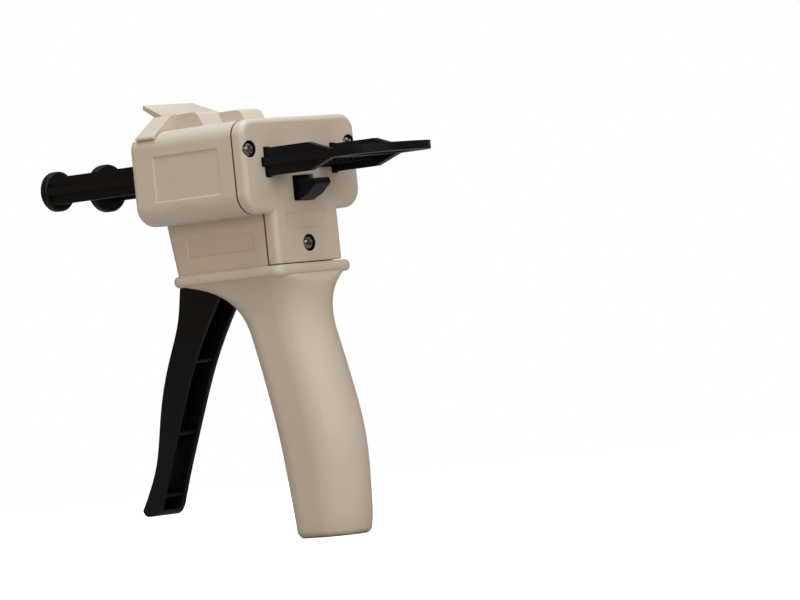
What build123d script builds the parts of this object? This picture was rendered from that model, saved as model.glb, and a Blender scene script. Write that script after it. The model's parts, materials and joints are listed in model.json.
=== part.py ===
# Dental dispensing gun for twin cartridges, at real size in millimetres.
# Origin: centre of the flat base of the handle.  +X to the rear, -Y to the gun's left, +Z up.
import os
from math import cos, radians, sin, sqrt

from build123d import *

os.makedirs("parts", exist_ok=True)

# Fits shared by the whole gun
run = 0.05          # radial clearance of a pin in the bore it turns in
gap = 0.35          # clearance between pieces that slide or swing past each other
wall = 2.5          # wall of the housing moulding
rib = 2.0           # ribs, bridges and small ledges inside the housing

# Upper body: a box with rounded edges, closed at the rear by the cover
rear_x = 2.0        # rear face of the cover
cover_t = 6.0
cover_edge_r = 2.2
body_len = 58.0     # from the front face to the seam with the cover
body_half_w = 31.0
body_floor_z = 125.5
body_top_z = 162.0
top_r = 6.5         # rounding along the two top edges
bottom_r = 8.0      # rounding along the two bottom edges
front_r = 4.5       # rounding around the front face

# Neck and hand guard under the body
neck_half_w = 17.7
neck_front_x = -56.7
neck_rake = 3.6     # how much further forward the neck stands at its top
neck_corner_r = 5.0
guard_top_z = 105.5
guard_t = 4.5
guard_front_x = -59.0
guard_rear_x = 4.5
guard_half_w = 20.5
guard_front_r = 9.0
guard_rear_r = 4.0
guard_edge_r = 2.0

# Handle sections from the base up: height, middle x, half depth, half width, corner radius
handle_sections = (
    (0.0, -0.6, 14.9, 11.6, 11.25),
    (13.0, 0.0, 16.3, 12.6, 12.22),
    (24.0, -0.4, 17.0, 13.0, 12.61),
    (35.0, -1.2, 17.5, 13.4, 13.00),
    (55.0, -4.9, 17.7, 13.5, 13.09),
    (68.0, -8.2, 17.6, 13.4, 13.00),
    (80.0, -11.6, 17.6, 13.3, 12.90),
    (90.0, -14.8, 19.9, 14.0, 13.16),
    (96.0, -18.1, 23.8, 15.7, 12.87),
    (99.2, -21.6, 27.1, 17.5, 10.85),
    (101.5, -26.2, 30.5, 20.1, 8.84),
)
base_edge_r = 3.0
handle_wall = 2.6
handle_floor = 3.0

# Slot that the trigger swings in
trigger_w = 14.0
slot_rear_x = -31.5
slot_low_z = 87.0

# Cartridge seat at the front of the body
front_wall = 2.6
seat_slot = 5.0         # takes the cartridge's rear flange
bulkhead = 4.5
seat_edge = 3.0         # from the body's side to the slot's end
seat_floor_z = 129.0
lip_w = 3.0             # front lip beside the open throat for the two barrels
barrel_floor_z = 133.0
barrel_corner_r = 11.0

# Plunger: two toothed racks joined by a pull yoke
rack_z = 145.0          # level of the ribs and of the disc centres
rack_web_y = 18.05      # middle of each upright web
web_t = 2.8
web_h = 10.8
rib_t = 2.8
rib_out = 1.6           # outer rib beyond the web
flange_in_y = 8.2       # inner edge of the toothed flange
flange_top = 1.4        # above rack_z
tooth_h = 1.8
tooth_land = 0.4
tooth_crest = 2.8       # crest line below rack_z
tooth_pitch = 3.0
tooth_run_out = 3.5     # bare flange between the last tooth and the yoke
tooth_first_x = -112.0
disc_y = 13.5
left_disc_r = 8.0
right_disc_r = 9.6
disc_t = 4.0
disc_edge = 0.7
disc_dish = 0.8
disc_x = -122.5         # middle of the discs
spigot_r = 2.5
spigot_len = 3.0
end_block_len = 6.0
yoke_rear_x = 60.0
yoke_len = 30.0
yoke_half_w = 21.2
yoke_t = 3.2
yoke_corner_r = 16.0
yoke_band = 7.6
taper_len = 12.0
taper_lap = 7.0         # how far the taper reaches onto the yoke

# Trigger, its pivot and the feed pawl on its head
pivot_x = -41.5
pivot_z = 118.0
pin_r = 2.0
hub_r = 6.0
head_r = 3.6
trigger_wall = 2.2
boss_r = 5.0
toe_z = 12.5
toe_front_x = -97.4
toe_rear_x = -91.0
pawl_x = -27.5          # pawl pivot
pawl_z = 133.5
pawl_pin_r = 1.2
pawl_hub_r = 3.0
pawl_bar_x = -34.8
pawl_bar_z = 138.6
pawl_bar_r = 1.5
pawl_tip_x = -35.3
pawl_tip_z = 141.1
pawl_half_w = 15.5
trigger_rib_t = 1.4
trigger_rib_angle = -24
trigger_rib_places = ((-70.0, 75.0), (-80.5, 45.6), (-90.0, 21.0))
spring_wire_r = 0.5
spring_coil_r = 3.2
spring_turns = 3.87
spring_pitch = 1.25
spring_front_angle = -55
spring_front_leg = 21.0
spring_rear_leg = 22.0
pawl_spring_foot = (-36.0, 124.5)

# Cartridge lock lever on top
lever_pin_back = 27.9   # pin behind the body's front face
lever_pin_drop = 3.2    # pin below the body's top
lever_pin_r = 1.5
knuckle_r = 4.0
bar_back = 5.5          # bar behind the body's front face
bar_len = 10.0
bar_drop = 2.7          # bar's underside below the body's top
lever_rise = 6.2        # bar's top above the body's top
lever_slope_w = 11.0    # sloping ends of the bar
arm_in_y = 6.2
arm_out_y = 17.4
arm_lean = 31           # degrees that the arms' rear faces lean forward
arm_round_r = 3.4       # round between the arms' tops and rear faces
lever_wall = 2.0
keeper_drop = 2.4       # nib that holds the cartridge flange down
keeper_edge = 9.0       # nib's end from the body's side
tab_reach = 6.5         # tab's tip before the body's front face
tab_rise = 5.8          # tab's tip above the bar
tab_root_half_w = 15.4
tab_tip_half_w = 13.2
tab_t = 1.8
hinge_boss_r = 4.2
hinge_boss_edge = 7.0   # boss's end from the body's side
window_back = 6.8       # rear end of the arms' windows behind the pin

# Release lever in the rear cover
release_x = -8.5
release_z = 133.8
release_pin_r = 1.2
release_hub_r = 3.0
release_half_w = 4.3
release_top_z = 137.3
release_low_z = 130.1
release_nose_x = 12.6
fork_in_y = 8.6
fork_out_y = 12.0
fork_tip_x = -36.6
fork_bridge_x = -16.5
fork_top_z = 141.8
release_spring_top_z = 134.0
release_slot_half_w = 5.65
release_slot_low_z = 129.5
release_slot_top_z = 139.2
ear_t = 2.5

# Cover screws and the posts they bite into
screw_edge = 3.9        # side screws' axis from the body's side
screw_side_z = 150.4
screw_low_z = 113.1
screw_head_r = 2.8
screw_head_h = 1.7
screw_shank_r = 1.45
screw_len = 14.0
recess_r = 3.3
recess_depth = 2.2
post_r = 3.6
cross_slot_len = 3.4
cross_slot_w = 0.8
cross_slot_depth = 1.2

# Bare recessed panels: front x, rear x, low z, top z
panel_depth = 0.5
body_panel = (-48.0, -12.0, 134.6, 152.2)
neck_panel = (-47.5, -10.5, 112.2, 119.2)
cover_panel_half_w = 11.3
cover_panel_low_z = 118.9
cover_panel_top_z = 124.9

# Rack guide plate, brake springs and strip springs
guide_t = 6.0
strip_t = 0.4
chamfer_len = 0.3
brake_front_gap = 1.9   # front foot behind the guide plate
brake_rear_gap = 4.0    # rear foot before the screw posts
brake_foot_out = 4.15   # feet outside the webs
brake_low_z = 147.3
brake_top_z = 150.3
detent_half_w = 17.0
detent_low_z = 151.2

# Places worked out from the sizes above
yoke_front_x = yoke_rear_x - yoke_len
tooth_count = int((yoke_front_x - tooth_run_out - tooth_first_x) / tooth_pitch)
taper_end_x = yoke_front_x + taper_lap
taper_start_x = taper_end_x - taper_len
seat_half_w = body_half_w - seat_edge
barrel_half_w = seat_half_w - lip_w
screw_side_y = body_half_w - screw_edge
hinge_boss_y = body_half_w - hinge_boss_edge
keeper_half_w = body_half_w - keeper_edge
lever_flat_half_w = body_half_w - lever_slope_w
seam_x = rear_x - cover_t
front_x = seam_x - body_len
bar_front_x = front_x + bar_back
bar_seat_z = body_top_z - bar_drop
lever_top_z = body_top_z + lever_rise
lever_pin_x = front_x + lever_pin_back
lever_pin_z = body_top_z - lever_pin_drop
arm_lean_sin = sin(radians(arm_lean))
arm_lean_cos = cos(radians(arm_lean))
arm_tangent_x = lever_pin_x + knuckle_r * arm_lean_cos
arm_tangent_z = lever_pin_z + knuckle_r * arm_lean_sin
arm_corner_x = arm_tangent_x - (lever_top_z - arm_tangent_z) * arm_lean_sin / arm_lean_cos
tab_tip_x = front_x - tab_reach
tab_tip_z = lever_top_z + tab_rise
window_x = lever_pin_x + window_back
slot_x = front_x + front_wall
bulkhead_x = slot_x + seat_slot
cavity_x = bulkhead_x + bulkhead
guide_x = cavity_x + guide_t
brake_front_x = guide_x + brake_front_gap
brake_rear_x = seam_x - screw_len - rib - brake_rear_gap
inner_half_w = body_half_w - wall
inner_floor_z = body_floor_z + wall
inner_top_z = body_top_z - wall
neck_inner_y = neck_half_w - wall
guard_bottom_z = guard_top_z - guard_t
slot_half_w = trigger_w / 2 + gap
web_in_y = rack_web_y - web_t / 2
web_out_y = rack_web_y + web_t / 2
brake_foot_y = web_out_y + brake_foot_out
rib_out_y = web_out_y + rib_out
crest_z = rack_z - tooth_crest
root_z = crest_z + tooth_h
bar_rear_x = bar_front_x + bar_len
bar_swing_reach = (lever_pin_x - bar_rear_x) ** 2 + (lever_pin_z - bar_seat_z) ** 2
bar_swing_x = lever_pin_x - sqrt(bar_swing_reach - lever_pin_drop ** 2)   # bar's lower edge as it swings out
arm_window_in_y = arm_in_y - gap - 0.1
arm_window_out_y = arm_out_y + gap
cheek_in_y = trigger_w / 2 - trigger_wall
rack_front_x = disc_x + disc_t / 2
ear_in_y = fork_out_y + gap
knuckle_rear_x = lever_pin_x + knuckle_r


def block(x0, x1, y0, y1, z0, z1, mode=Mode.ADD):
    """Box between two corners: ribs, walls and plain cuts."""
    with Locations(((x0 + x1) / 2, (y0 + y1) / 2, (z0 + z1) / 2)):
        Box(abs(x1 - x0), abs(y1 - y0), abs(z1 - z0), mode=mode)


def cross_rod(x, z, radius, y0, y1, mode=Mode.ADD):
    """Round bar or bore lying across the gun."""
    with Locations(Location((x, (y0 + y1) / 2, z), (90, 0, 0))):
        Cylinder(radius, abs(y1 - y0), mode=mode)


def long_rod(y, z, radius, x0, x1, mode=Mode.ADD):
    """Round bar or bore lying along the gun."""
    with Locations(Location(((x0 + x1) / 2, y, z), (0, 90, 0))):
        Cylinder(radius, abs(x1 - x0), mode=mode)


def handle_loft(inset, first_z):
    """Smooth loft through the handle sections, drawn in by an inset."""
    sections = []
    for z, mid_x, half_d, half_w, corner_r in handle_sections:
        with BuildSketch(Plane.XY.offset(max(z, first_z))) as section:
            with Locations((mid_x, 0)):
                RectangleRounded(2 * (half_d - inset), 2 * (half_w - inset), corner_r - inset)
        sections.append(section.sketch)
    loft(sections)


def neck_loft(inset, rear, z0, z1):
    """Neck section with round front corners, raked forward towards the top."""
    sections = []
    for z in (z0, z1):
        share = (z - guard_top_z) / (body_floor_z - guard_top_z)
        front = neck_front_x - neck_rake * share + inset
        with BuildSketch(Plane.XY.offset(z)) as section:
            with Locations(((front + rear) / 2, 0)):
                Rectangle(rear - front, 2 * (neck_half_w - inset))
            fillet(vertices().group_by(Axis.X)[0], radius=neck_corner_r - inset)
        sections.append(section.sketch)
    loft(sections, ruled=True)


def upper_outline():
    """Cross-section of the upper body, shared by the housing and its cover."""
    with Locations((0, (body_floor_z + body_top_z) / 2)):
        Rectangle(2 * body_half_w, body_top_z - body_floor_z)
    fillet(vertices().group_by(Axis.Y)[-1], radius=top_r)
    fillet(vertices().group_by(Axis.Y)[0], radius=bottom_r)


def rack_section(grow):
    """Cross-shaped section of both racks, grown by a clearance for their slots."""
    flange_mid_y = (flange_in_y + web_in_y) / 2
    flange_mid_z = rack_z + (flange_top - tooth_crest) / 2
    flange_h = flange_top + tooth_crest
    for side in (-1, 1):
        with Locations((side * rack_web_y, rack_z)):
            Rectangle(web_t + 2 * grow, web_h + 2 * grow)
        with Locations((side * (web_out_y + rib_out / 2), rack_z)):
            Rectangle(rib_out + 2 * grow, rib_t + 2 * grow)
        with Locations((side * flange_mid_y, flange_mid_z)):
            Rectangle(web_in_y - flange_in_y + 2 * grow, flange_h + 2 * grow)


# Housing: handle, hand guard, neck and upper body in one hollow moulding
with BuildPart() as handle_core:
    handle_loft(handle_wall, handle_floor)

with BuildPart() as guard:
    with BuildSketch(Plane.XY.offset(guard_bottom_z)):
        with Locations(((guard_front_x + guard_rear_x) / 2, 0)):
            Rectangle(guard_rear_x - guard_front_x, 2 * guard_half_w)
        fillet(vertices().group_by(Axis.X)[0], radius=guard_front_r)
        fillet(vertices().group_by(Axis.X)[-1], radius=guard_rear_r)
    extrude(amount=guard_t)
    rims = edges().group_by(Axis.Z)
    fillet(rims[-1] + rims[0], radius=guard_edge_r)

with BuildPart() as neck:
    neck_loft(0, seam_x, guard_top_z - 1, inner_floor_z)

with BuildPart() as neck_core:
    neck_loft(wall, seam_x, guard_top_z - 1, inner_floor_z + 1)
    block(neck_front_x + wall + neck_rake, seam_x - wall, -neck_inner_y, neck_inner_y,
          guard_bottom_z, guard_top_z)

with BuildPart() as body:
    with BuildSketch(Plane.YZ.offset(front_x)):
        upper_outline()
    extrude(amount=body_len)
    fillet(faces().sort_by(Axis.X)[0].edges(), radius=front_r)

with BuildPart() as housing:
    handle_loft(0, 0)
    fillet(faces().sort_by(Axis.Z)[0].edges(), radius=base_edge_r)
    add(handle_core.part, mode=Mode.SUBTRACT)
    add(guard.part)
    add(neck.part)
    add(body.part)
    add(neck_core.part, mode=Mode.SUBTRACT)
    block(cavity_x, seam_x, -inner_half_w, inner_half_w, inner_floor_z, inner_top_z,
          mode=Mode.SUBTRACT)

    # Slot for the trigger, open to the front from the handle up into the body
    with BuildSketch(Plane.XZ):
        with BuildLine():
            Polyline(
                (front_x - wall, slot_low_z - rib),
                (slot_rear_x, slot_low_z),
                (slot_rear_x, inner_floor_z),
                (neck_front_x + wall, inner_floor_z),
                (neck_front_x - neck_rake - wall, (guard_top_z + body_floor_z) / 2),
                close=True,
            )
        make_face()
    extrude(amount=slot_half_w, both=True, mode=Mode.SUBTRACT)

    # Cartridge seat: flange slot, open throat for the barrels, lowered top under the lever
    block(slot_x, bulkhead_x, -seat_half_w, seat_half_w, seat_floor_z, body_top_z + 1,
          mode=Mode.SUBTRACT)
    with BuildSketch(Plane.YZ.offset(front_x)):
        with Locations((0, (barrel_floor_z + body_top_z + barrel_corner_r) / 2)):
            Rectangle(2 * barrel_half_w, body_top_z + barrel_corner_r - barrel_floor_z)
        fillet(vertices().group_by(Axis.Y)[0], radius=barrel_corner_r)
    extrude(amount=front_wall, mode=Mode.SUBTRACT)
    block(front_x, bar_swing_x + gap / 2, -body_half_w, body_half_w, bar_seat_z, body_top_z,
          mode=Mode.SUBTRACT)

    # Windows for the two arms of the lock lever, with the hinge bosses between and beside them
    for side in (-1, 1):
        block(bar_rear_x, window_x, side * arm_window_in_y, side * arm_window_out_y,
              inner_top_z - wall, body_top_z, mode=Mode.SUBTRACT)
        cross_rod(lever_pin_x, lever_pin_z - 1, hinge_boss_r - 1,
                  side * arm_window_out_y, side * hinge_boss_y)
        block(lever_pin_x - hinge_boss_r, lever_pin_x + hinge_boss_r,
              side * arm_window_out_y, side * hinge_boss_y, lever_pin_z - hinge_boss_r, inner_top_z)
    block(lever_pin_x - hinge_boss_r, lever_pin_x + hinge_boss_r,
          -arm_window_in_y, arm_window_in_y, lever_pin_z - hinge_boss_r, inner_top_z)
    cross_rod(lever_pin_x, lever_pin_z, lever_pin_r + run, -hinge_boss_y + 1, hinge_boss_y - 1,
              mode=Mode.SUBTRACT)

    # Ledge behind the windows that carries the detent strip
    block(window_x, window_x + rib, -detent_half_w, detent_half_w, detent_low_z, inner_top_z)

    # Pivot bosses on the neck walls
    for side in (-1, 1):
        cross_rod(pivot_x, pivot_z, boss_r, side * slot_half_w, side * (neck_half_w - 1))
    cross_rod(pivot_x, pivot_z, pin_r + run, -neck_inner_y, neck_inner_y, mode=Mode.SUBTRACT)

    # Screw posts, the lower one on a web between the neck walls
    for side in (-1, 1):
        long_rod(side * screw_side_y, screw_side_z, post_r, seam_x - screw_len - rib, seam_x)
        long_rod(side * screw_side_y, screw_side_z, screw_shank_r + run, seam_x - screw_len, seam_x,
                 mode=Mode.SUBTRACT)
    long_rod(0, screw_low_z, post_r, seam_x - screw_len - rib, seam_x)
    block(seam_x - screw_len, seam_x - rib, -neck_inner_y - 1, neck_inner_y + 1,
          screw_low_z - rib / 2, screw_low_z + rib / 2)
    long_rod(0, screw_low_z, screw_shank_r + run, seam_x - screw_len, seam_x, mode=Mode.SUBTRACT)

    # Feet on the side walls that hold the brake springs
    for side in (-1, 1):
        for foot_x in (brake_front_x, brake_rear_x):
            block(foot_x - rib / 2, foot_x + rib / 2, side * (brake_foot_y + strip_t),
                  side * (inner_half_w + 1), brake_low_z, brake_top_z)

    # Openings in the bulkhead for the racks and for the drawn-back discs
    with BuildSketch(Plane.YZ.offset(bulkhead_x)):
        rack_section(gap)
        with Locations((-disc_y, rack_z)):
            Circle(left_disc_r + gap)
        with Locations((disc_y, rack_z)):
            Circle(right_disc_r + gap)
    extrude(amount=bulkhead, mode=Mode.SUBTRACT)

    # Bare recessed panels on the left side
    block(body_panel[0], body_panel[1], -body_half_w, -body_half_w + panel_depth,
          body_panel[2], body_panel[3], mode=Mode.SUBTRACT)
    block(neck_panel[0], neck_panel[1], -neck_half_w, -neck_half_w + panel_depth,
          neck_panel[2], neck_panel[3], mode=Mode.SUBTRACT)
housing.part.label = "housing"
export_step(housing.part, "parts/housing.step")


# Rear cover: one face over body and neck, hollow behind, with slots for racks and lever
with BuildPart() as rear_cover:
    with BuildSketch(Plane.YZ.offset(seam_x)):
        upper_outline()
        with Locations((0, (guard_top_z + inner_floor_z) / 2 + gap / 2)):
            Rectangle(2 * neck_half_w, inner_floor_z - guard_top_z - gap)
    extrude(amount=cover_t)
    rim = faces().sort_by(Axis.X)[-1].edges()
    fillet(rim.sort_by(Axis.Z)[1:], radius=cover_edge_r)
    with BuildSketch(Plane.YZ.offset(seam_x)):
        with Locations((0, (inner_floor_z + inner_top_z) / 2)):
            Rectangle(2 * inner_half_w - top_r, inner_top_z - inner_floor_z)
        with Locations((0, (guard_top_z + inner_floor_z) / 2)):
            Rectangle(2 * neck_inner_y, inner_floor_z - guard_top_z - 2 * wall)
    extrude(amount=cover_t - wall - gap, mode=Mode.SUBTRACT)
    with BuildSketch(Plane.YZ.offset(seam_x)):
        rack_section(gap + rib)
        for y, z in ((-screw_side_y, screw_side_z), (screw_side_y, screw_side_z), (0, screw_low_z)):
            with Locations((y, z)):
                Circle(post_r)
    extrude(amount=cover_t - wall)
    for side in (-1, 1):
        block(release_x, rear_x - wall, side * ear_in_y, side * (ear_in_y + ear_t),
              release_z - release_hub_r, release_z + release_hub_r)
        cross_rod(release_x, release_z, release_hub_r, side * ear_in_y, side * (ear_in_y + ear_t))
    block(release_x + gap, rear_x - wall, -release_slot_half_w, release_slot_half_w,
          release_slot_low_z - rib, release_slot_low_z - strip_t)
    cross_rod(release_x, release_z, release_pin_r + run, -ear_in_y - ear_t, ear_in_y + ear_t,
              mode=Mode.SUBTRACT)
    with BuildSketch(Plane.YZ.offset(seam_x)):
        rack_section(gap)
        with Locations((0, (release_slot_low_z + release_slot_top_z) / 2)):
            Rectangle(2 * release_slot_half_w, release_slot_top_z - release_slot_low_z)
    extrude(amount=cover_t, mode=Mode.SUBTRACT)
    for y, z in ((-screw_side_y, screw_side_z), (screw_side_y, screw_side_z), (0, screw_low_z)):
        long_rod(y, z, recess_r, rear_x - recess_depth, rear_x, mode=Mode.SUBTRACT)
        long_rod(y, z, screw_shank_r + gap, seam_x, rear_x, mode=Mode.SUBTRACT)
    block(rear_x - panel_depth, rear_x, -cover_panel_half_w, cover_panel_half_w,
          cover_panel_low_z, cover_panel_top_z, mode=Mode.SUBTRACT)
rear_cover.part.label = "rear_cover"
export_step(rear_cover.part, "parts/rear_cover.step")

# Three domed cross-head screws
with BuildPart() as cover_screws:
    seat_x = rear_x - recess_depth
    for y, z in ((-screw_side_y, screw_side_z), (screw_side_y, screw_side_z), (0, screw_low_z)):
        with BuildSketch(Plane.XZ.offset(-y)):
            with BuildLine():
                Polyline(
                    (seam_x - screw_len + rib, z),
                    (seam_x - screw_len + rib + screw_shank_r, z + screw_shank_r),
                    (seat_x, z + screw_shank_r),
                    (seat_x, z + screw_head_r),
                    (seat_x + screw_head_h / 3, z + screw_head_r),
                )
                ThreePointArc(
                    (seat_x + screw_head_h / 3, z + screw_head_r),
                    (seat_x + screw_head_h * 0.83, z + screw_head_r * 0.55),
                    (seat_x + screw_head_h, z),
                )
                Line((seat_x + screw_head_h, z), (seam_x - screw_len + rib, z))
            make_face()
        revolve(axis=Axis((0, y, z), (1, 0, 0)))
        with Locations((seat_x + screw_head_h, y, z)):
            Box(2 * cross_slot_depth, cross_slot_len, cross_slot_w, mode=Mode.SUBTRACT)
            Box(2 * cross_slot_depth, cross_slot_w, cross_slot_len, mode=Mode.SUBTRACT)
cover_screws.part.label = "cover_screws"
export_step(cover_screws.part, "parts/cover_screws.step")

# Guide plate behind the bulkhead, open below the racks for the trigger's head
with BuildPart() as rack_guide:
    guide_top_z = bar_seat_z - gap
    with BuildSketch(Plane.YZ.offset(cavity_x)):
        with Locations((0, (inner_floor_z + run + guide_top_z) / 2)):
            Rectangle(2 * (inner_half_w - run), guide_top_z - inner_floor_z - run)
        with Locations((0, (inner_floor_z + rack_z) / 2)):
            Rectangle(2 * (web_in_y - gap), rack_z - inner_floor_z + 2 * flange_top, mode=Mode.SUBTRACT)
    extrude(amount=guide_t)
    with BuildSketch(Plane.YZ.offset(cavity_x)):
        rack_section(gap)
    extrude(amount=guide_t, mode=Mode.SUBTRACT)
rack_guide.part.label = "rack_guide"
export_step(rack_guide.part, "parts/rack_guide.step")

# Two bowed strips that brake the racks
with BuildPart() as rack_brake_springs:
    for side in (-1, 1):
        with BuildSketch(Plane.XY.offset(brake_low_z)):
            with BuildLine() as bow:
                ThreePointArc(
                    (brake_front_x - rib / 2, side * (brake_foot_y + strip_t / 2)),
                    ((brake_front_x + brake_rear_x) / 2, side * (web_out_y + run + strip_t / 2)),
                    (brake_rear_x + rib / 2, side * (brake_foot_y + strip_t / 2)),
                )
            trace(line_width=strip_t)
        extrude(amount=brake_top_z - brake_low_z)
rack_brake_springs.part.label = "rack_brake_springs"
export_step(rack_brake_springs.part, "parts/rack_brake_springs.step")

# Plunger: toothed racks, tapered tails and a pull yoke in one moulding
with BuildSketch(Plane.XZ) as web_side:
    with BuildLine():
        Polyline(
            (rack_front_x, rack_z - web_h / 2),
            (rack_front_x, rack_z + web_h / 2),
            (taper_start_x, rack_z + web_h / 2),
            (taper_end_x, rack_z + yoke_t / 2),
            (taper_end_x, rack_z - yoke_t / 2),
            (taper_start_x, rack_z - web_h / 2),
            close=True,
        )
    make_face()

with BuildSketch(Plane.XZ) as toothed_side:
    saw = [(rack_front_x, rack_z + flange_top), (rack_front_x, root_z)]
    for tooth in range(tooth_count):
        start_x = tooth_first_x + tooth * tooth_pitch
        end_x = start_x + tooth_pitch
        saw += [(start_x, root_z), (end_x - tooth_land, crest_z), (end_x, crest_z)]
    saw += [(end_x, root_z), (yoke_front_x + 1, root_z), (yoke_front_x + 1, rack_z + flange_top)]
    with BuildLine():
        Polyline(*saw, close=True)
    make_face()

with BuildSketch(Plane.XY.offset(rack_z - yoke_t / 2)) as yoke_plan:
    with Locations(((yoke_front_x + yoke_rear_x) / 2, 0)):
        Rectangle(yoke_rear_x - yoke_front_x, 2 * yoke_half_w)
    fillet(vertices().group_by(Axis.X)[-1], radius=yoke_corner_r)

with BuildSketch(Plane.XY.offset(rack_z - yoke_t / 2)) as finger_plan:
    with Locations(((yoke_front_x + yoke_rear_x) / 2, 0)):
        Rectangle(yoke_rear_x - yoke_front_x - 2 * yoke_band, 2 * (yoke_half_w - yoke_band))
    fillet(vertices().group_by(Axis.X)[-1], radius=yoke_corner_r - yoke_band)
    fillet(vertices().group_by(Axis.X)[0], radius=wall)

with BuildPart() as plunger_racks:
    extrude(web_side.sketch, amount=web_out_y, both=True)
    block(rack_front_x, taper_end_x, -web_in_y, web_in_y, rack_z - web_h, rack_z + web_h,
          mode=Mode.SUBTRACT)
    extrude(toothed_side.sketch, amount=rack_web_y, both=True)
    block(rack_front_x, yoke_front_x + 2, -flange_in_y, flange_in_y, rack_z - web_h, rack_z + web_h,
          mode=Mode.SUBTRACT)
    for side in (-1, 1):
        block(rack_front_x, taper_end_x + 1, side * web_out_y, side * rib_out_y,
              rack_z - rib_t / 2, rack_z + rib_t / 2)
        block(rack_front_x, rack_front_x + end_block_len, side * (disc_y - spigot_r - 1),
              side * rack_web_y, crest_z, rack_z + flange_top)
        long_rod(side * disc_y, rack_z, spigot_r, rack_front_x - spigot_len, rack_front_x)
    extrude(yoke_plan.sketch, amount=yoke_t)
    extrude(finger_plan.sketch, amount=yoke_t, mode=Mode.SUBTRACT)
plunger_racks.part.label = "plunger_racks"
export_step(plunger_racks.part, "parts/plunger_racks.step")


def piston_disc(radius, y):
    """Dished disc with chamfered rims, pushed onto the rack's spigot."""
    long_rod(y, rack_z, radius, disc_x - disc_t / 2, disc_x + disc_t / 2)
    chamfer(edges().filter_by(GeomType.CIRCLE), length=disc_edge)
    long_rod(y, rack_z, radius - 2 * disc_edge, disc_x - disc_t / 2, disc_x - disc_t / 2 + disc_dish,
             mode=Mode.SUBTRACT)
    long_rod(y, rack_z, spigot_r + run, rack_front_x - spigot_len - run, rack_front_x,
             mode=Mode.SUBTRACT)


with BuildPart() as left_piston_disc:
    piston_disc(left_disc_r, -disc_y)
left_piston_disc.part.label = "left_piston_disc"
export_step(left_piston_disc.part, "parts/left_piston_disc.step")

with BuildPart() as right_piston_disc:
    piston_disc(right_disc_r, disc_y)
right_piston_disc.part.label = "right_piston_disc"
export_step(right_piston_disc.part, "parts/right_piston_disc.step")

# Trigger: a channel open to the rear, with cross ribs, a hub and a head for the pawl
nose_points = (
    (-99.3, toe_z + 2.3), (-93.4, toe_z + 11), (-89.6, 30.5), (-83.6, 51.5), (-76.0, 72.0),
    (-67.8, 89.5), (-63.8, 106.0), (-56.5, 118.0), (-46.0, 123.2),
)
back_points = (
    (pivot_x + hub_r, pivot_z), (-40.5, 101.5), (-48.3, 91.0), (-62.8, 70.0), (-75.0, 46.0),
    (-84.9, 25.0), (-88.4, toe_z + 4),
)
with BuildSketch(Plane.XZ) as trigger_side:
    with BuildLine():
        nose = Spline(*nose_points)
        Line(nose @ 1, (pivot_x, pivot_z + hub_r))
        Line((pivot_x, pivot_z + hub_r), (pivot_x + hub_r, pivot_z))
        back = Spline(*back_points)
        Polyline(back @ 1, (toe_rear_x, toe_z), (toe_front_x, toe_z), nose @ 0)
    make_face()

with BuildSketch(Plane.XZ) as trigger_head:
    with Locations((pivot_x, pivot_z)):
        Circle(hub_r)
    with Locations((pawl_x, pawl_z)):
        Circle(head_r)
    make_hull()

# Everything behind the front wall, between the two cheeks
foot_x, foot_z = pawl_spring_foot
skin_x = trigger_wall * 1.1
with BuildSketch(Plane.XZ) as channel_side:
    with BuildLine():
        inner_nose = Spline(*[(x + skin_x, z) for x, z in nose_points])
        Polyline(
            inner_nose @ 1, (inner_nose @ 1 + Vector(0, pawl_z - pivot_z + hub_r)),
            (seam_x, pawl_z + hub_r), (seam_x, toe_z + trigger_wall), inner_nose @ 0,
        )
    make_face()

# Three cross ribs, held back a little from the rear edges of the cheeks
with BuildSketch(Plane.XZ) as rib_field:
    with BuildLine():
        field_nose = Spline(*[(x + trigger_wall / 2, z) for x, z in nose_points])
        field_back = Spline(*[(x - trigger_wall / 2, z) for x, z in back_points[1:]])
        Line(field_nose @ 1, field_back @ 0)
        Line(field_back @ 1, field_nose @ 0)
    make_face()
with BuildSketch(Plane.XZ) as rib_side:
    for x, z in trigger_rib_places:
        with Locations((x, z)):
            Rectangle(body_half_w, trigger_rib_t, rotation=trigger_rib_angle)
    add(rib_field.sketch, mode=Mode.INTERSECT)

with BuildPart() as trigger:
    extrude(trigger_side.sketch, amount=trigger_w / 2, both=True)
    extrude(trigger_head.sketch, amount=trigger_w / 2, both=True)
    extrude(channel_side.sketch, amount=cheek_in_y, both=True, mode=Mode.SUBTRACT)
    extrude(rib_side.sketch, amount=cheek_in_y + run, both=True)
    block(foot_x - rib / 2, foot_x + rib / 2, -cheek_in_y - run, cheek_in_y + run,
          foot_z - rib / 2, foot_z + rib / 2)
    cross_rod(pivot_x, pivot_z, pin_r + run, -trigger_w, trigger_w, mode=Mode.SUBTRACT)
    cross_rod(pawl_x, pawl_z, pawl_pin_r + run, -trigger_w, trigger_w, mode=Mode.SUBTRACT)
trigger.part.label = "trigger"
export_step(trigger.part, "parts/trigger.step")

# Trigger pin, held in the two neck bosses
with BuildPart() as trigger_pin:
    cross_rod(pivot_x, pivot_z, pin_r, -neck_inner_y + run, neck_inner_y - run)
    chamfer(edges().filter_by(GeomType.CIRCLE), length=chamfer_len)
trigger_pin.part.label = "trigger_pin"
export_step(trigger_pin.part, "parts/trigger_pin.step")

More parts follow.
